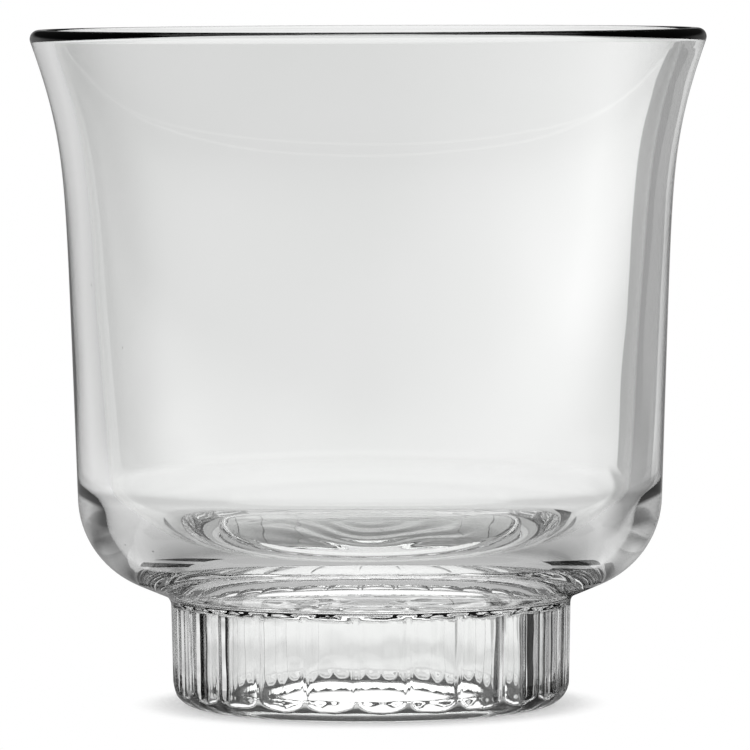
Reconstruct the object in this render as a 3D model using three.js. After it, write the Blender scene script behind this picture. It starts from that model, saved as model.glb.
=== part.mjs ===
// A footed drinking glass: a flared bowl with a heavy floor, fused hot to a hollow ring foot
// whose outside is pressed into upright flutes.
// Millimetres, +Z up. The origin is the centre of the face that the glass stands on.
import * as THREE from 'three';

const { degToRad } = THREE.MathUtils;

// Bowl
const HEIGHT = 95; // table to the top of the lip
const RIM_RADIUS = 47.5; // over the lip, the widest place
const LIP_WALL = 2.8; // glass at the lip
const LIP_ROUNDNESS = 0.45; // share of the lip's wall that each of its two fire-polished bends takes
const FLARE_LEAN = degToRad(17.5); // the flare under the lip, from upright
const FLARE_BEND = 79; // how gently the wall bends out into the flare
const WALL_LEAN = degToRad(2); // the long straight wall, from upright
const INSIDE_LEAN = degToRad(3.7); // its inside, from upright: the wall thins on its way up
const BELLY_RADIUS = 40.8; // where the straight wall would meet the underside
const BELLY_WALL = 4.7; // glass there
const BELLY_BEND = 13.2;
const UNDERSIDE_RISE = degToRad(22.7); // the underside, from level
const FLOOR_THICKNESS = 5.5; // the floor, over the hollow of the foot
const FLOOR_BEND = 11; // from the floor up into the wall, inside

// Foot
const FOOT_HEIGHT = 15.8; // table to the plane where foot and bowl are fused
const FOOT_RADIUS = 28.2; // over the ridges, under the bowl
const FOOT_TAPER = degToRad(1.2); // the foot narrows a little on its way down
const FOOT_WALL = 6;
const JOINT_FILLET = 1.4; // glass drawn up into the corner under the bowl
const JOINT_LAND = 0.3; // underside of the foot's top, from that fillet out to the fused edge
const FOOT_EDGE = 3.4; // rounded outer edge at the table
const BORE_EDGE = 1.2; // rounded inner edge at the table

// Flutes
const FLUTES = 24;
const FLUTE_DEPTH = 0.6;
const FLUTE_TOP_MARGIN = 1.6; // plain glass between the fused plane and the flutes
const FLUTE_BASE_MARGIN = 1.5; // plain glass between the table and the flutes
const FLUTE_END = 1.2; // height of a flute's rounded end

// Fineness of the facets
const ARC_STEPS = 3; // half the steps round each bend
const BOWL_SIDES = 72;
const FLUTE_SIDES = 6;
const FLUTE_END_STEPS = 3;

const glass = new THREE.MeshStandardMaterial({ color: '#eef2f2', roughness: 0.03, metalness: 0 });

const point = (radius, height) => new THREE.Vector2(radius, height);

// The place where two walls meet, each given by one of its points and its lean from upright.
function meeting(a, leanA, b, leanB) {
  const slopeA = Math.tan(leanA);
  const slopeB = Math.tan(leanB);
  const height = (b.x - a.x + a.y * slopeA - b.y * slopeB) / (slopeA - slopeB);
  return point(a.x + (height - a.y) * slopeA, height);
}

// An outline of radius and height through the corners, each rounded by its bend where it has one.
// A bend takes no more of the two sides beside it than they can give.
function roundedOutline(corners) {
  const path = new THREE.Path();
  path.moveTo(corners[0].at.x, corners[0].at.y);
  for (let i = 1; i < corners.length; i += 1) {
    const { at, bend } = corners[i];
    if (!bend) {
      path.lineTo(at.x, at.y);
      continue;
    }
    const back = corners[i - 1].at.clone().sub(at);
    const onward = corners[i + 1].at.clone().sub(at);
    const half = back.angleTo(onward) / 2;
    const reach = Math.min(bend / Math.tan(half), back.length(), onward.length());
    const radius = reach * Math.tan(half);
    back.setLength(reach);
    onward.setLength(reach);
    const centre = back.clone().add(onward).setLength(radius / Math.sin(half));
    const from = back.clone().sub(centre).angle();
    const to = onward.clone().sub(centre).angle();
    path.absarc(at.x + centre.x, at.y + centre.y, radius, from, to, back.cross(onward) > 0);
  }
  return path.getPoints(ARC_STEPS);
}

// The outline turned about the upright axis.
function turned(outline, sides) {
  return new THREE.LatheGeometry(outline, sides).rotateX(Math.PI / 2);
}

// The fused plane reaches out past the joint's fillet, which runs into the underside of the bowl.
function seatRadius() {
  const filletReach = JOINT_FILLET * Math.tan((Math.PI / 2 - UNDERSIDE_RISE + FOOT_TAPER) / 2);
  return FOOT_RADIUS + (filletReach + JOINT_LAND) * Math.cos(UNDERSIDE_RISE);
}

function bowl() {
  const floor = FOOT_HEIGHT + FLOOR_THICKNESS;
  const lipBend = LIP_WALL * LIP_ROUNDNESS;
  const seat = point(seatRadius(), FOOT_HEIGHT);
  const belly = point(BELLY_RADIUS, seat.y + (BELLY_RADIUS - seat.x) * Math.tan(UNDERSIDE_RISE));
  const overhang = lipBend * (1 / Math.cos(FLARE_LEAN) + Math.tan(FLARE_LEAN) - 1);
  const rim = point(RIM_RADIUS + overhang, HEIGHT);
  const waist = meeting(belly, WALL_LEAN, rim, FLARE_LEAN);
  const innerBelly = point(belly.x - BELLY_WALL, belly.y);
  const innerRim = point(rim.x - LIP_WALL / Math.cos(FLARE_LEAN), HEIGHT);
  const innerWaist = meeting(innerBelly, INSIDE_LEAN, innerRim, FLARE_LEAN);
  const floorRadius = innerBelly.x + (floor - innerBelly.y) * Math.tan(INSIDE_LEAN);
  const outline = roundedOutline([
    { at: point(0, FOOT_HEIGHT) },
    { at: seat },
    { at: belly, bend: BELLY_BEND },
    { at: waist, bend: FLARE_BEND },
    { at: rim, bend: lipBend },
    { at: innerRim, bend: lipBend },
    { at: innerWaist, bend: FLARE_BEND + LIP_WALL },
    { at: point(floorRadius, floor), bend: FLOOR_BEND },
    { at: point(0, floor) },
  ]);
  return turned(outline, BOWL_SIDES);
}

// The share of its full depth that a flute has at a place on the foot: none on the ridges and past
// the rounded ends, all of it along the middle.
function fluteShare(angle, height) {
  const turn = angle / (2 * Math.PI) * FLUTES;
  const across = Math.abs(turn - Math.floor(turn) - 0.5) * 2;
  const overTop = height - (FOOT_HEIGHT - FLUTE_TOP_MARGIN - FLUTE_END);
  const underBase = FLUTE_BASE_MARGIN + FLUTE_END - height;
  const past = Math.max(0, overTop, underBase) / FLUTE_END;
  const inside = Math.max(0, 1 - Math.hypot(across, past));
  return inside * (2 - inside);
}

// The outer wall of the foot, with a ring of points at each height that a flute's top end needs.
function fluteRings(wallRadius) {
  const rings = [];
  const start = FOOT_HEIGHT - FLUTE_TOP_MARGIN - FLUTE_END;
  for (let i = 0; i <= FLUTE_END_STEPS; i += 1) {
    const height = start + FLUTE_END * Math.sin(Math.PI / 2 * i / FLUTE_END_STEPS);
    rings.push({ at: point(wallRadius(height), height) });
  }
  return rings;
}

function foot() {
  const seat = seatRadius();
  const joint = FOOT_HEIGHT - (seat - FOOT_RADIUS) * Math.tan(UNDERSIDE_RISE);
  const wallRadius = (height) => FOOT_RADIUS - (joint - height) * Math.tan(FOOT_TAPER);
  const bore = FOOT_RADIUS - FOOT_WALL;
  const ring = turned(roundedOutline([
    { at: point(seat, FOOT_HEIGHT) },
    { at: point(bore, FOOT_HEIGHT) },
    { at: point(bore, 0), bend: BORE_EDGE },
    { at: point(wallRadius(0), 0), bend: FOOT_EDGE },
    ...fluteRings(wallRadius),
    { at: point(FOOT_RADIUS, joint), bend: JOINT_FILLET },
    { at: point(seat, FOOT_HEIGHT) },
  ]), FLUTES * FLUTE_SIDES);
  const place = ring.attributes.position;
  for (let i = 0; i < place.count; i += 1) {
    const [x, y, height] = [place.getX(i), place.getY(i), place.getZ(i)];
    const radius = Math.hypot(x, y);
    if (radius < FOOT_RADIUS - FOOT_WALL / 2) continue;
    const cut = 1 - FLUTE_DEPTH * fluteShare(Math.atan2(x, -y), height) / radius;
    place.setXY(i, x * cut, y * cut);
  }
  ring.computeVertexNormals();
  return ring;
}

function piece(name, geometry) {
  const mesh = new THREE.Mesh(geometry, glass);
  mesh.name = name;
  return mesh;
}

const drinkingGlass = new THREE.Group();
drinkingGlass.add(piece('bowl', bowl()), piece('foot', foot()));

export default drinkingGlass;
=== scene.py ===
import math
import bpy
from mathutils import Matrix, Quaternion, Vector, noise


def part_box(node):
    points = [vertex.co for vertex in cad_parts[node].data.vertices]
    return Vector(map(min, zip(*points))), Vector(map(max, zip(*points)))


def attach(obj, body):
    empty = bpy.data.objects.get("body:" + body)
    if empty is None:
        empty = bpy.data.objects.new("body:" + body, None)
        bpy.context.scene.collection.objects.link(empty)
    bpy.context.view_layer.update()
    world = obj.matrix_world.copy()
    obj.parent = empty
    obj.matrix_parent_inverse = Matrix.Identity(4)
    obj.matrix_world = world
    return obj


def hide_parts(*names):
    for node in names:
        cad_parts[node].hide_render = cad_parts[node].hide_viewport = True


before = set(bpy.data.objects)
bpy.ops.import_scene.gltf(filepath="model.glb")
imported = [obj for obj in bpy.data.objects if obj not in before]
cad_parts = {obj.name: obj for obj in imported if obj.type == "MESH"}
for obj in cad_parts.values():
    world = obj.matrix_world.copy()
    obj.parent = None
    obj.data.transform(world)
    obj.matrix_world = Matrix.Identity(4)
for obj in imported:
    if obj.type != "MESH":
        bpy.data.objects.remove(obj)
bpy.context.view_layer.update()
scene = bpy.context.scene
mm = 0.001  # sizes are written in millimetres, and the scene is in metres
leastArcSteps = 6  # an arc in an outline never has fewer
print("frame loaded:", ", ".join(sorted(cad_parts)))


# Shared tools

def linear(hexColour):  # sRGB hex to the linear colour that a shader takes
    shares = [int(hexColour[i:i + 2], 16) / 255 for i in (1, 3, 5)]
    return [s / 12.92 if s <= 0.04045 else ((s + 0.055) / 1.055) ** 2.4 for s in shares] + [1.0]


def addNode(tree, kind, settings=None, values=None, links=None):
    node = tree.nodes.new("ShaderNode" + kind)
    for name, value in (settings or {}).items():
        setattr(node, name, value)
    for socket, value in (values or {}).items():
        node.inputs[socket].default_value = value
    for socket, source in (links or {}).items():
        tree.links.new(source, node.inputs[socket])
    return node


def newMaterial(name):
    material = bpy.data.materials.new(name)
    material.use_nodes = True
    tree = material.node_tree
    tree.nodes.clear()
    return material, tree


def ease(value, low, high):  # 0 below low, 1 above high, smooth between
    t = min(1.0, max(0.0, (value - low) / (high - low)))
    return t * t * (3 - 2 * t)


def evenRun(points, step):  # the same outline, with points no further apart than step
    run = [points[0]]
    for a, b in zip(points, points[1:]):
        count = max(1, math.ceil(math.dist(a, b) / step))
        run += [(a[0] + (b[0] - a[0]) * i / count, a[1] + (b[1] - a[1]) * i / count)
                for i in range(1, count + 1)]
    return run


def roundedRun(corners, step):  # (radius, height, bend) corners joined by straight runs and arcs
    points = []
    for i, (radius, height, bend) in enumerate(corners):
        if not bend:
            points.append((radius, height))
            continue
        at = Vector((radius, height))
        back = (Vector(corners[i - 1][:2]) - at).normalized()
        onward = (Vector(corners[i + 1][:2]) - at).normalized()
        half = back.angle(onward) / 2
        centre = at + (back + onward).normalized() * (bend / math.sin(half))
        start = at + back * (bend / math.tan(half)) - centre
        sweep = math.pi - 2 * half
        if back.cross(onward) > 0:
            sweep = -sweep
        count = max(leastArcSteps, math.ceil(abs(sweep) * bend / step))
        for k in range(count + 1):
            turned = sweep * k / count
            points.append((centre.x + start.x * math.cos(turned) - start.y * math.sin(turned),
                           centre.y + start.x * math.sin(turned) + start.y * math.cos(turned)))
    return evenRun(points, step)


# The outline is turned about the upright axis. A run is (points, material number); place moves a
# point of the outline, (radius, height), at an angle in turns, so that flutes and ripples can be made.
def turnedPiece(name, runs, angles, place, materials, closed):
    rings, ringMaterials, crisp = [], [], set()
    for points, material in runs:
        if rings:
            crisp.add(len(rings) - 1)
        for point in points if not rings else points[1:]:
            rings.append(point)
            ringMaterials.append(material)
    if closed:
        rings.pop()
        crisp.add(0)
    verts, starts = [], []
    for radius, height in rings:
        starts.append(len(verts))
        around = angles if radius > 0 else angles[:1]
        for turn in around:
            r, z = place(radius, height, turn)
            angle = 2 * math.pi * turn
            verts.append((r * math.sin(angle) * mm, -r * math.cos(angle) * mm, z * mm))
    faces, faceMaterials, sides = [], [], len(angles)
    for i in range(len(rings) if closed else len(rings) - 1):
        j = (i + 1) % len(rings)
        for k in range(sides):
            a, b = starts[i] + k, starts[i] + (k + 1) % sides
            c, d = starts[j] + (k + 1) % sides, starts[j] + k
            if rings[i][0] == 0:
                faces.append((starts[i], c, d))
            elif rings[j][0] == 0:
                faces.append((a, b, starts[j]))
            else:
                faces.append((a, b, c, d))
            faceMaterials.append(ringMaterials[i + 1])
    mesh = bpy.data.meshes.new(name)
    mesh.from_pydata(verts, [], faces)
    mesh.polygons.foreach_set("material_index", faceMaterials)
    mesh.polygons.foreach_set("use_smooth", [True] * len(faces))
    crispStarts = {starts[i] for i in crisp}
    ringOf = {v: start for start in crispStarts for v in range(start, start + sides)}
    for edge in mesh.edges:
        a, b = edge.vertices
        edge.use_edge_sharp = ringOf.get(a, -1) == ringOf.get(b, -2)
    for material in materials:
        mesh.materials.append(material)
    mesh.validate()
    piece = bpy.data.objects.new(name, mesh)
    scene.collection.objects.link(piece)
    return piece


# Glass

# Soda-lime glass, pressed in a mould and fire-polished: clear and mirror-smooth, with a faint cloudy
# tint and a few pin-head seeds. The slow waves that pressing leaves are in the meshes below.
pressedGlass = {
    "tint": ("#ffffff", "#fbfcfb"),  # from the clearest to the faintly greyest places
    "tintSize": 22.0,
    "ior": 1.52,
    "roughness": 0.0,
    "seedSpacing": 9.0,  # pin-head bubbles, a little coarser than real ones so that they show
    "seedSize": 0.22,
    "seedDepth": 0.02,
}


def glassMaterial(name, look):
    material, tree = newMaterial(name)
    place = addNode(tree, "TexCoord").outputs["Object"]
    cloud = addNode(tree, "TexNoise", values={"Scale": 1 / (look["tintSize"] * mm), "Detail": 1.0},
                    links={"Vector": place}).outputs["Fac"]
    clearest, greyest = look["tint"]
    tint = addNode(tree, "Mix", {"data_type": "RGBA"}, {"A": linear(clearest), "B": linear(greyest)},
                   {"Factor": cloud}).outputs["Result"]
    seeds = addNode(tree, "TexVoronoi", values={"Scale": 1 / (look["seedSpacing"] * mm)},
                    links={"Vector": place}).outputs["Distance"]
    seedEdge = look["seedSize"] / look["seedSpacing"]
    dots = addNode(tree, "MapRange", {"interpolation_type": "SMOOTHSTEP"},
                   {"From Min": 0.0, "From Max": seedEdge, "To Min": 1.0, "To Max": 0.0},
                   {"Value": seeds})
    dimples = addNode(tree, "Bump", None, {"Distance": look["seedDepth"] * mm, "Strength": 1.0},
                      {"Height": dots.outputs["Result"]})
    surface = addNode(tree, "BsdfPrincipled", None,
                      {"Transmission Weight": 1.0, "IOR": look["ior"], "Roughness": look["roughness"]},
                      {"Base Color": tint, "Normal": dimples.outputs["Normal"]})
    addNode(tree, "OutputMaterial", links={"Surface": surface.outputs["BSDF"]})
    return material


# Where hot bowl and foot were fused there is no surface left, so light passes straight on.
def fusedSeamMaterial(name):
    material, tree = newMaterial(name)
    surface = addNode(tree, "BsdfTransparent")
    addNode(tree, "OutputMaterial", links={"Surface": surface.outputs["BSDF"]})
    return material


clearGlass = glassMaterial("soda_lime_glass_pressed_and_fire_polished", pressedGlass)
fusedSeam = fusedSeamMaterial("soda_lime_glass_fused_seam")
glassMaterials = [clearGlass, fusedSeam]
onSkin = 0  # places in that list
onSeam = 1
print("materials made:", len(glassMaterials))


# Foot

footSizes = {
    "radius": 28.2,  # over the ridges, where the wall meets the underside of the bowl
    "taper": math.radians(1.2),
    "wall": 6.0,
    "undersideRise": math.radians(22.7),
    "jointFillet": 1.4,
    "jointLand": 0.3,
    "edge": 3.4,
    "boreEdge": 1.2,
    "boreTop": 1.5,
    "seatMargin": 0.01,  # the fused plane itself stays true
    "flutes": 24,
    "fluteSides": 28,
    "ridgeCrowding": 0.75,  # how much closer together the points are near a ridge
    "fluteDepth": 0.36,
    "ridgeTop": 0.07,  # flat top of a ridge, as a share of half a flute
    "ridgeFlank": 0.08,  # and the steep sides beside it
    "ridgeDepth": 0.09,
    "fluteTop": 14.8,
    "topEnd": 0.6,  # height of a flute's rounded top
    "fluteBase": 1.5,
    "baseEnd": 1.4,
    "fluteWander": 0.07,  # the ridges stray by this share of a flute
    "wanderSize": 9.0,
    "wanderStretch": 0.4,  # slower up the foot than round it
    "endWander": 0.3,  # the flutes' ends are ragged by this much
    "endWanderSize": 1.8,
    "boreRipple": 0.05,  # slow waves that the plunger left in the bore
    "boreRippleSize": 5.0,
    "edgeRipple": 0.07,  # roughness of the bore's lower edge
    "edgeRippleSize": 0.9,
    "meshStep": 0.3,
}
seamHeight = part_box("bowl")[0].z / mm
filletReach = footSizes["jointFillet"] * math.tan(
    (math.pi / 2 - footSizes["undersideRise"] + footSizes["taper"]) / 2)
seatReach = (filletReach + footSizes["jointLand"]) * math.cos(footSizes["undersideRise"])
seatRadius = footSizes["radius"] + seatReach
ceilingRadius = footSizes["radius"] - footSizes["wall"] - footSizes["boreTop"]


def fluteAngles(sizes):  # in turns, closer together near the ridges
    angles = []
    for k in range(sizes["flutes"] * sizes["fluteSides"]):
        t = k / sizes["fluteSides"]
        crowded = t - sizes["ridgeCrowding"] * math.sin(2 * math.pi * t) / (2 * math.pi)
        angles.append(crowded / sizes["flutes"])
    return angles


def roundPoint(radius, turn, height):
    angle = 2 * math.pi * turn
    return Vector((radius * math.sin(angle), -radius * math.cos(angle), height))


def footPlace(radius, height, turn):
    sizes = footSizes
    if radius < sizes["radius"] - sizes["wall"] / 2:
        return radius + borePress(radius, height, turn, sizes), height
    if height > seamHeight - sizes["seatMargin"]:
        return radius, height
    there = roundPoint(radius, turn, height * sizes["wanderStretch"])
    stray = sizes["fluteWander"] * noise.noise(there / sizes["wanderSize"])
    ragged = sizes["endWander"] * noise.noise(roundPoint(radius, turn, 0) / sizes["endWanderSize"])
    across = abs((turn * sizes["flutes"] + stray) % 1 - 0.5) * 2
    past = max(0.0, (height + ragged - sizes["fluteTop"]) / sizes["topEnd"] + 1,
               (sizes["fluteBase"] + ragged - height) / sizes["baseEnd"] + 1)
    inside = max(0.0, 1 - math.hypot(across, past) - sizes["ridgeTop"])
    flank = sizes["ridgeDepth"] * ease(inside, 0, sizes["ridgeFlank"])
    return radius - sizes["fluteDepth"] * inside * (2 - inside) - flank, height


def borePress(radius, height, turn, sizes):  # how far the plunger left the bore from true
    there = roundPoint(radius, turn, height)
    upper = 1 - ease(height, seamHeight - 2 * sizes["boreTop"], seamHeight - sizes["boreTop"])
    lower = 1 - ease(height, 0, 2 * sizes["boreEdge"])
    slow = sizes["boreRipple"] * noise.noise(there / sizes["boreRippleSize"])
    fine = sizes["edgeRipple"] * noise.noise(there / sizes["edgeRippleSize"])
    return upper * slow + lower * fine


def makeFoot(sizes):
    joint = seamHeight - (seatRadius - sizes["radius"]) * math.tan(sizes["undersideRise"])
    baseRadius = sizes["radius"] - joint * math.tan(sizes["taper"])
    bore = sizes["radius"] - sizes["wall"]
    seam = evenRun([(seatRadius, seamHeight), (ceilingRadius, seamHeight)], sizes["meshStep"] * 2)
    skin = roundedRun([
        (ceilingRadius, seamHeight, 0),
        (bore, seamHeight, sizes["boreTop"]),
        (bore, 0, sizes["boreEdge"]),
        (baseRadius, 0, sizes["edge"]),
        (sizes["radius"], joint, sizes["jointFillet"]),
        (seatRadius, seamHeight, 0),
    ], sizes["meshStep"])
    return turnedPiece("fluted_foot", [(seam, onSeam), (skin, onSkin)], fluteAngles(sizes),
                       footPlace, glassMaterials, closed=True)


foot = makeFoot(footSizes)
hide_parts("foot")
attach(foot, "root")
print("foot made:", len(foot.data.polygons), "faces")


# Bowl

bowlSizes = {
    "wallRadius": 42.09,  # outside, at the middle of the straight wall
    "wallMiddle": 60.0,
    "wallLean": math.radians(1.91),
    "flareLean": math.radians(21.8),
    "flareHeight": 82.7,  # where the flare sets in
    "flareEase": 5.3,  # how gently it does
    "lipWall": 2.8,
    "thinTo": 84.0,  # the wall is thinnest from here up
    "wallGain": 0.03,  # and gains this much per millimetre further down
    "lipOuterBend": 1.25,
    "lipInnerBend": 1.0,
    "lipHeight": 3.0,  # the last stretch of the wall, which takes the bends
    "bellyHeight": 20.6,  # where wall and underside would meet
    "bellyBend": 13.2,
    "floorThickness": 5.5,
    "floorBend": 11.0,
    "bendReach": 1.1,  # up the wall, a bend is given this many times its radius
    "slopeSpan": 0.1,  # the wall's slope is taken over this height
    "sides": 320,
    "meshStep": 0.9,
    "lipStep": 0.15,
    "floorRipple": 0.025,  # height of the rings that the plunger left on the floor
    "floorRing": 4.0,  # and their spacing
    "ceilingRipple": 0.03,
    "ceilingRing": 5.0,
    "ringWander": 0.8,  # the rings stray by this share of their spacing
    "ringWanderSize": 9.0,
    "wallRipple": 0.03,  # the inside of the wall waves slowly by this much
    "wallRippleSize": 14.0,
}
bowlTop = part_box("bowl")[1].z / mm
floorHeight = seamHeight + bowlSizes["floorThickness"]


def outerRadius(height, sizes):
    over = (height - sizes["flareHeight"]) / sizes["flareEase"]
    lean = math.tan(sizes["wallLean"])
    flare = (math.tan(sizes["flareLean"]) - lean) * sizes["flareEase"] * math.log1p(math.exp(over))
    return sizes["wallRadius"] + lean * (height - sizes["wallMiddle"]) + flare


def wallSlope(height, sizes):
    half = sizes["slopeSpan"] / 2
    return (outerRadius(height + half, sizes) - outerRadius(height - half, sizes)) / sizes["slopeSpan"]


def innerPoint(height, sizes):  # straight through the wall from the outside at this height
    under = (sizes["thinTo"] - height) / sizes["flareEase"]
    thick = sizes["lipWall"] + sizes["wallGain"] * sizes["flareEase"] * math.log1p(math.exp(under))
    lean = math.atan(wallSlope(height, sizes))
    return outerRadius(height, sizes) - thick * math.cos(lean), height + thick * math.sin(lean)


def pressRings(radius, turn, spacing, sizes):  # wavering rings round the middle, between -1 and 1
    there = roundPoint(radius, turn, spacing)
    stray = sizes["ringWander"] * noise.noise(there / sizes["ringWanderSize"])
    return math.sin(2 * math.pi * (radius / spacing + stray)) * ease(radius, 0, spacing)


def bowlPlace(radius, height, turn):
    sizes = bowlSizes
    if height == seamHeight:  # the ceiling of the hollow foot, level where the bowl is fused to it
        level = 1 - ease(radius, ceilingRadius - sizes["ceilingRing"], ceilingRadius)
        rings = pressRings(radius, turn, sizes["ceilingRing"], sizes)
        return radius, height + level * sizes["ceilingRipple"] * rings
    if height == floorHeight:
        rings = pressRings(radius, turn, sizes["floorRing"], sizes)
        return radius, height + sizes["floorRipple"] * rings
    if height > floorHeight and radius < outerRadius(height, sizes) - sizes["lipWall"] / 2:
        still = 1 - ease(height, bowlTop - 3 * sizes["lipHeight"], bowlTop - sizes["lipHeight"])
        risen = ease(height, floorHeight, seamHeight + sizes["floorBend"])
        wave = noise.noise(roundPoint(radius, turn, height) / sizes["wallRippleSize"])
        return radius + still * risen * sizes["wallRipple"] * wave, height
    return radius, height


def makeBowl(sizes):
    step = sizes["meshStep"]
    ceiling = evenRun([(0, seamHeight), (ceilingRadius, seamHeight)], step)
    seam = evenRun([(ceilingRadius, seamHeight), (seatRadius, seamHeight)], step)
    bellyRadius = outerRadius(sizes["bellyHeight"], sizes)
    lipStart = bowlTop - sizes["lipHeight"]
    wallStart = sizes["bellyHeight"] + sizes["bendReach"] * sizes["bellyBend"]
    count = math.ceil((lipStart - wallStart) / step)
    heights = [wallStart + (lipStart - wallStart) * i / count for i in range(count + 1)]
    outside = roundedRun([
        (seatRadius, seamHeight, 0),
        (bellyRadius, sizes["bellyHeight"], sizes["bellyBend"]),
        (outerRadius(wallStart, sizes), wallStart, 0),
    ], step)
    outside += [(outerRadius(h, sizes), h) for h in heights[1:]]
    lean = math.atan(wallSlope(lipStart, sizes))
    rim = outside[-1][0] + sizes["lipHeight"] * math.tan(lean)
    innerRim = rim - sizes["lipWall"] / math.cos(lean)
    innerStart = innerPoint(lipStart, sizes)
    lip = roundedRun([
        (*outside[-1], 0),
        (rim, bowlTop, sizes["lipOuterBend"]),
        (innerRim, bowlTop, sizes["lipInnerBend"]),
        (*innerStart, 0),
    ], sizes["lipStep"])[1:-1]
    inside = [innerPoint(h, sizes) for h in reversed(heights)]
    foldHeight = floorHeight + sizes["bendReach"] * sizes["floorBend"]
    inside = [p for p in inside if p[1] > foldHeight + step]
    above, low = inside[-2:]
    lean = (above[0] - low[0]) / (above[1] - low[1])
    cornerRadius = low[0] - (low[1] - floorHeight) * lean
    floor = roundedRun([
        (low[0], low[1], 0),
        (cornerRadius, floorHeight, sizes["floorBend"]),
        (0, floorHeight, 0),
    ], step)
    skin = outside + lip + inside + floor[1:]
    angles = [k / sizes["sides"] for k in range(sizes["sides"])]
    return turnedPiece("flared_bowl", [(ceiling, onSkin), (seam, onSeam), (skin, onSkin)], angles,
                       bowlPlace, glassMaterials, closed=False)


bowl = makeBowl(bowlSizes)
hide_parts("bowl")
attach(bowl, "root")
print("bowl made:", len(bowl.data.polygons), "faces")


# Camera

cameraSizes = {
    "azimuth": math.radians(3.9),
    "distance": 990.0,
    "height": 106.0,  # a little above the lip
    "aimAside": 0.77,
    "aimHeight": 46.35,
    "roll": math.radians(-0.226),
    "pixelsPerMm": 7.126,  # at the axis of the glass
    "frameWidth": 750,
    "sensor": 36.0,
    "clipStart": 50.0,
}


def makeCamera(sizes):
    across = Vector((math.cos(sizes["azimuth"]), math.sin(sizes["azimuth"]), 0))
    toward = Vector((math.sin(sizes["azimuth"]), -math.cos(sizes["azimuth"]), 0))
    eye = toward * sizes["distance"] + Vector((0, 0, sizes["height"]))
    aim = across * sizes["aimAside"] + Vector((0, 0, sizes["aimHeight"]))
    data = bpy.data.cameras.new("camera")
    data.sensor_width = sizes["sensor"]
    data.lens = sizes["pixelsPerMm"] * sizes["distance"] / sizes["frameWidth"] * sizes["sensor"]
    data.clip_start = sizes["clipStart"] * mm
    camera = bpy.data.objects.new("camera", data)
    camera.location = eye * mm
    camera.rotation_mode = "QUATERNION"
    look = (aim - eye).to_track_quat("-Z", "Y")
    camera.rotation_quaternion = look @ Quaternion((0, 0, 1), sizes["roll"])
    scene.collection.objects.link(camera)
    return camera


scene.camera = makeCamera(cameraSizes)
print("camera placed")


# Studio

# White all round for the eye and for the light on the floor. In the glass it shows as a room would: a
# grey backdrop with a lit panel and a dark gap on the right, a sweep of paper under it, a dark room
# above and a softbox overhead.
studio = {
    "backdrop": (  # degrees round from straight behind the glass, and brightness
        (-180, 0.9), (-100, 0.9), (-60, 0.5), (-46, 0.55), (-36, 0.72), (-28, 0.84), (-20, 0.74),
        (-12, 0.75), (-5, 0.77), (0, 0.8), (3, 0.9), (7, 1.08), (15.5, 1.18), (22, 1.0), (32, 1.05),
        (42, 0.5), (50, 0.2), (58, 0.2), (68, 0.6), (80, 0.75), (110, 0.92), (180, 0.9)),
    "panelEdge": 6.3,  # the lit panel behind ends here at eye level
    "panelLean": 1.6,  # and this many degrees further right for each degree down
    "panelSoft": 0.1,
    "besidePanel": 0.42,  # to the right of it this share of the light is left
    "sideFrom": 60.0,  # as far round as this, where the light comes back
    "sideTo": 80.0,
    "paper": 0.92,  # the sweep of paper under the backdrop
    "paperFrom": -5.0,  # degrees down
    "paperTo": -6.6,
    "litFrom": -16.0,  # and degrees round, from where on light falls on it
    "litTo": -5.0,
    "darkFrom": 2.0,  # degrees up
    "darkTo": 9.0,
    "dark": 0.05,
    "softboxFrom": 48.0,
    "softboxTo": 53.0,
    "softbox": 1.6,
    "mirrored": 0.3,  # share of it all that shines back off the glass
}


def setRamp(ramp, stops):
    while len(ramp.elements) > 1:
        ramp.elements.remove(ramp.elements[-1])
    for i, (position, value) in enumerate(stops):
        stop = ramp.elements[0] if i == 0 else ramp.elements.new(position)
        stop.position = position
        stop.color = (value, value, value, 1)


# 1 for what is seen in or through the glass, 0 for the eye and for light on the floor.
def inGlassOnly(tree):
    path = addNode(tree, "LightPath").outputs
    seen = addNode(tree, "Math", {"operation": "MAXIMUM"},
                   links={0: path["Is Glossy Ray"], 1: path["Is Transmission Ray"]})
    first = addNode(tree, "Math", {"operation": "LESS_THAN"}, {1: 0.5}, {0: path["Diffuse Depth"]})
    both = addNode(tree, "Math", {"operation": "MULTIPLY"},
                   links={0: seen.outputs[0], 1: first.outputs[0]})
    return both.outputs[0]


# What is seen through the glass keeps its brightness, and what shines off it is dimmer.
def shineShare(tree, look):
    through = addNode(tree, "LightPath").outputs["Is Transmission Ray"]
    return addNode(tree, "MapRange", None, {"To Min": look["mirrored"], "To Max": 1.0},
                   {"Value": through}).outputs["Result"]


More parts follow.
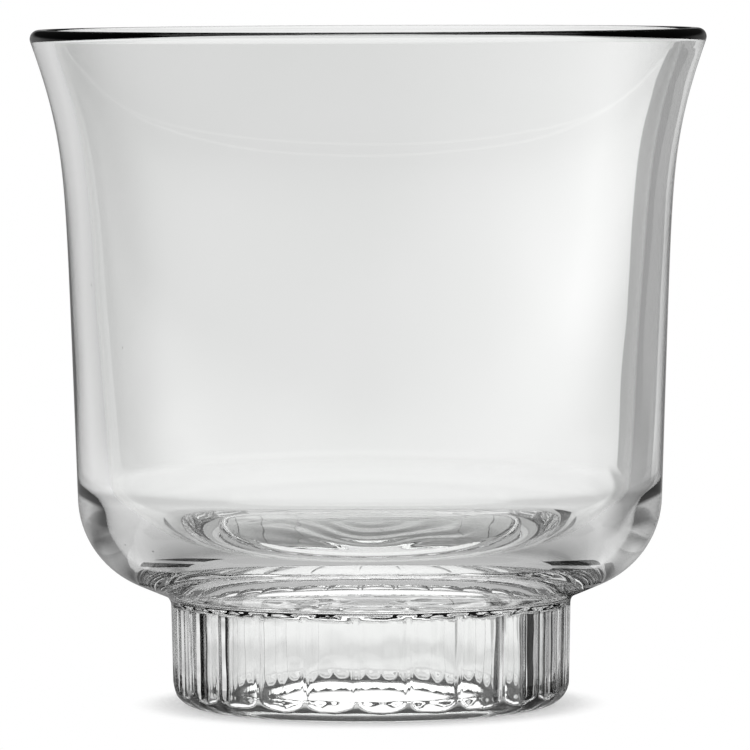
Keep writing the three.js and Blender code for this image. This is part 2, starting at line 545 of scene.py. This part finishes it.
# Brightness of the backdrop and the paper under it, by direction.
def backdropAround(tree, way, up, look):
    axes = addNode(tree, "SeparateXYZ", links={"Vector": way}).outputs
    bearing = addNode(tree, "Math", {"operation": "ARCTAN2"}, links={0: axes["X"], 1: axes["Y"]})
    turned = addNode(tree, "Math", {"operation": "ADD"}, {1: cameraSizes["azimuth"]},
                     {0: bearing.outputs[0]})
    share = addNode(tree, "MapRange", None, {"From Min": -math.pi, "From Max": math.pi},
                    {"Value": turned.outputs[0]})
    ramp = addNode(tree, "ValToRGB", links={"Fac": share.outputs["Result"]})
    setRamp(ramp.color_ramp, [((degrees + 180) / 360, value) for degrees, value in look["backdrop"]])
    below = addNode(tree, "MapRange", {"interpolation_type": "SMOOTHSTEP"},
                    {"From Min": math.radians(look["paperFrom"]),
                     "From Max": math.radians(look["paperTo"])}, {"Value": up})
    lit = addNode(tree, "MapRange", {"interpolation_type": "SMOOTHSTEP"},
                  {"From Min": math.radians(look["litFrom"]),
                   "From Max": math.radians(look["litTo"])}, {"Value": turned.outputs[0]})
    paper = addNode(tree, "Math", {"operation": "MULTIPLY"},
                    links={0: below.outputs["Result"], 1: lit.outputs["Result"]})
    shade = addNode(tree, "Mix", {"data_type": "RGBA"}, {"B": (look["paper"],) * 3 + (1,)},
                    {"Factor": paper.outputs[0], "A": ramp.outputs["Color"]})
    leaning = addNode(tree, "Math", {"operation": "MULTIPLY_ADD"}, {1: look["panelLean"]},
                      {0: up, 2: turned.outputs[0]})
    edge, soft = math.radians(look["panelEdge"]), math.radians(look["panelSoft"])
    beside = addNode(tree, "MapRange", None,
                     {"From Min": math.radians(look["sideFrom"]),
                      "From Max": math.radians(look["sideTo"]),
                      "To Min": look["besidePanel"], "To Max": 1.0}, {"Value": turned.outputs[0]})
    panel = addNode(tree, "MapRange", None,
                    {"From Min": edge - soft, "From Max": edge + soft, "To Min": 1.0},
                    {"Value": leaning.outputs[0], "To Max": beside.outputs["Result"]})
    whole = addNode(tree, "VectorMath", {"operation": "SCALE"},
                    links={0: shade.outputs["Result"], "Scale": panel.outputs["Result"]})
    return whole.outputs["Vector"]


def makeWorld(look):
    world = bpy.data.worlds.new("studio")
    world.use_nodes = True
    scene.world = world
    tree = world.node_tree
    tree.nodes.clear()
    way = addNode(tree, "TexCoord").outputs["Generated"]
    height = addNode(tree, "SeparateXYZ", links={"Vector": way}).outputs["Z"]
    up = addNode(tree, "Math", {"operation": "ARCSINE"}, links={0: height}).outputs[0]
    backdrop = backdropAround(tree, way, up, look)
    above = addNode(tree, "MapRange", {"interpolation_type": "SMOOTHSTEP"},
                    {"From Min": math.radians(look["darkFrom"]),
                     "From Max": math.radians(look["darkTo"])}, {"Value": up})
    overhead = addNode(tree, "MapRange", {"interpolation_type": "SMOOTHSTEP"},
                       {"From Min": math.radians(look["softboxFrom"]),
                        "From Max": math.radians(look["softboxTo"])}, {"Value": up})
    room = addNode(tree, "Mix", {"data_type": "RGBA"}, {"B": (look["dark"],) * 3 + (1,)},
                   {"Factor": above.outputs["Result"], "A": backdrop})
    lit = addNode(tree, "Mix", {"data_type": "RGBA"}, {"B": (look["softbox"],) * 3 + (1,)},
                  {"Factor": overhead.outputs["Result"], "A": room.outputs["Result"]})
    dimmed = addNode(tree, "VectorMath", {"operation": "SCALE"},
                     links={0: lit.outputs["Result"], "Scale": shineShare(tree, look)})
    shown = addNode(tree, "Mix", {"data_type": "RGBA"}, {"A": linear("#ffffff")},
                    {"Factor": inGlassOnly(tree), "B": dimmed.outputs["Vector"]})
    sky = addNode(tree, "Background", links={"Color": shown.outputs["Result"]})
    addNode(tree, "OutputWorld", links={"Surface": sky.outputs["Background"]})


makeWorld(studio)
print("studio light set")


# Floor

floorLook = {
    "radius": 600.0,
    "sides": 96,
    "colour": "#f8f8f8",
    "shadowFrom": 27.0,  # the eye sees the shadow this near the axis, and plain white further out
    "shadowTo": 34.0,
    "shadowLift": 0.3,  # light that the glass lets through into its own shadow
    "inGlass": (  # radius and brightness: light under the hollow foot, shadow round it, paler outward
        (0, 1.15), (22.4, 1.15), (23.6, 0.5), (28, 0.55), (34, 0.5), (38, 0.3), (46, 0.5), (60, 0.75),
        (75, 0.88), (90, 0.76), (106, 0.74), (120, 0.86), (135, 0.95), (185, 0.97), (300, 0.97)),
    "panelEdge": 45.0,  # right of the axis, where the lit panel's light ends on the floor
    "panelLean": math.radians(12.4),  # further right on its way back
    "panelSoft": 3.0,
    "besidePanel": 0.5,  # share of the light that is left past it
    "sideFrom": 30.0,  # behind the axis; nearer than this the light comes back
    "sideTo": 10.0,
    "fadeFrom": 170.0,  # further out, the glass shows the paper that sweeps up into the backdrop
    "fadeTo": 280.0,
}


def floorForEye(tree, away, look):
    paint = addNode(tree, "BsdfDiffuse", None, {"Color": linear(look["colour"])})
    white = addNode(tree, "Emission", None, {"Color": linear("#ffffff"), "Strength": 1.0})
    near = addNode(tree, "MapRange", {"interpolation_type": "SMOOTHSTEP"},
                   {"From Min": look["shadowFrom"] * mm, "From Max": look["shadowTo"] * mm,
                    "To Min": look["shadowLift"]}, {"Value": away})
    eye = addNode(tree, "LightPath").outputs["Is Camera Ray"]
    whiten = addNode(tree, "Math", {"operation": "MULTIPLY"}, links={0: near.outputs["Result"], 1: eye})
    shown = addNode(tree, "MixShader",
                    links={0: whiten.outputs[0], 1: paint.outputs[0], 2: white.outputs[0]})
    return shown.outputs[0]


# Share of the light on the floor that is left to the right of the lit panel.
def panelOnFloor(tree, place, look):
    turn = cameraSizes["azimuth"]
    lean = turn - look["panelLean"]
    aside = addNode(tree, "VectorMath", {"operation": "DOT_PRODUCT"},
                    {1: (math.cos(lean), math.sin(lean), 0)}, {0: place})
    behind = addNode(tree, "VectorMath", {"operation": "DOT_PRODUCT"},
                     {1: (-math.sin(turn), math.cos(turn), 0)}, {0: place})
    beside = addNode(tree, "MapRange", None,
                     {"From Min": look["sideFrom"] * mm, "From Max": look["sideTo"] * mm,
                      "To Min": look["besidePanel"], "To Max": 1.0}, {"Value": behind.outputs["Value"]})
    edge, soft = look["panelEdge"] * mm, look["panelSoft"] * mm
    panel = addNode(tree, "MapRange", None,
                    {"From Min": edge - soft, "From Max": edge + soft, "To Min": 1.0},
                    {"Value": aside.outputs["Value"], "To Max": beside.outputs["Result"]})
    return panel.outputs["Result"]


def floorForGlass(tree, place, away, look):
    reach = look["inGlass"][-1][0]
    share = addNode(tree, "MapRange", None, {"From Max": reach * mm}, {"Value": away})
    shade = addNode(tree, "ValToRGB", links={"Fac": share.outputs["Result"]})
    setRamp(shade.color_ramp, [(radius / reach, value) for radius, value in look["inGlass"]])
    strength = addNode(tree, "Math", {"operation": "MULTIPLY"},
                       links={0: panelOnFloor(tree, place, look), 1: shineShare(tree, studio)})
    seen = addNode(tree, "Emission",
                   links={"Color": shade.outputs["Color"], "Strength": strength.outputs[0]})
    sweep = addNode(tree, "BsdfTransparent")
    fade = addNode(tree, "MapRange", {"interpolation_type": "SMOOTHSTEP"},
                   {"From Min": look["fadeFrom"] * mm, "From Max": look["fadeTo"] * mm}, {"Value": away})
    shown = addNode(tree, "MixShader",
                    links={0: fade.outputs["Result"], 1: seen.outputs[0], 2: sweep.outputs[0]})
    return shown.outputs[0]


# Board, painted matt white: plain white to the eye, with the soft shadow of the glass on it. In the
# glass it shows the shade round the foot and the edge of the panel's light.
def paintedFloorMaterial(name, look):
    material, tree = newMaterial(name)
    place = addNode(tree, "NewGeometry").outputs["Position"]
    away = addNode(tree, "VectorMath", {"operation": "LENGTH"}, links={0: place}).outputs["Value"]
    toEye = floorForEye(tree, away, look)
    toGlass = floorForGlass(tree, place, away, look)
    whole = addNode(tree, "MixShader", links={0: inGlassOnly(tree), 1: toEye, 2: toGlass})
    addNode(tree, "OutputMaterial", links={"Surface": whole.outputs[0]})
    return material


def makeFloor(look):
    sides = look["sides"]
    ring = [(look["radius"] * mm * math.cos(2 * math.pi * i / sides),
             look["radius"] * mm * math.sin(2 * math.pi * i / sides), 0) for i in range(sides)]
    mesh = bpy.data.meshes.new("floor")
    mesh.from_pydata(ring, [], [tuple(range(sides))])
    mesh.materials.append(paintedFloorMaterial("white_painted_board_matt", look))
    floor = bpy.data.objects.new("floor", mesh)
    scene.collection.objects.link(floor)


makeFloor(floorLook)


# Flags

# Low strips stand round the foot, as flags do in glass photography. Only the glass shows them.
flagLook = {
    "radius": 34.0,
    "lift": 0.2,  # clear of the floor
    "height": 14.5,
    "bearings": (  # degrees round from straight behind the glass
        (-119, -104), (-95, -83), (58, 73), (84, 99)),
    "steps": 24,
    "colour": "#060606",
}


# Card, dyed black and left matt: it gives back next to no light, so the flutes show black lines.
def blackCardMaterial(name, look):
    material, tree = newMaterial(name)
    card = addNode(tree, "Emission", None, {"Color": linear(look["colour"]), "Strength": 1.0})
    addNode(tree, "OutputMaterial", links={"Surface": card.outputs[0]})
    return material


def makeFlag(name, look, start, end, material):
    steps = look["steps"]
    verts = []
    for i in range(steps + 1):
        angle = math.radians(start + (end - start) * i / steps) - cameraSizes["azimuth"]
        x, y = look["radius"] * mm * math.sin(angle), look["radius"] * mm * math.cos(angle)
        verts += [(x, y, look["lift"] * mm), (x, y, look["height"] * mm)]
    faces = [(2 * i, 2 * i + 2, 2 * i + 3, 2 * i + 1) for i in range(steps)]
    mesh = bpy.data.meshes.new(name)
    mesh.from_pydata(verts, [], faces)
    mesh.materials.append(material)
    flag = bpy.data.objects.new(name, mesh)
    flag.visible_camera = False
    flag.visible_diffuse = False
    flag.visible_shadow = False
    scene.collection.objects.link(flag)


blackCard = blackCardMaterial("card_dyed_black_matt", flagLook)
for i, (start, end) in enumerate(flagLook["bearings"]):
    makeFlag(f"flag_{i}", flagLook, start, end, blackCard)
print("stage set")


# Light bounces often inside clear glass, and each seam takes two see-through steps.
scene.cycles.max_bounces = 24
scene.cycles.transmission_bounces = 24
scene.cycles.glossy_bounces = 12
scene.cycles.transparent_max_bounces = 48
scene.view_settings.view_transform = "Standard"
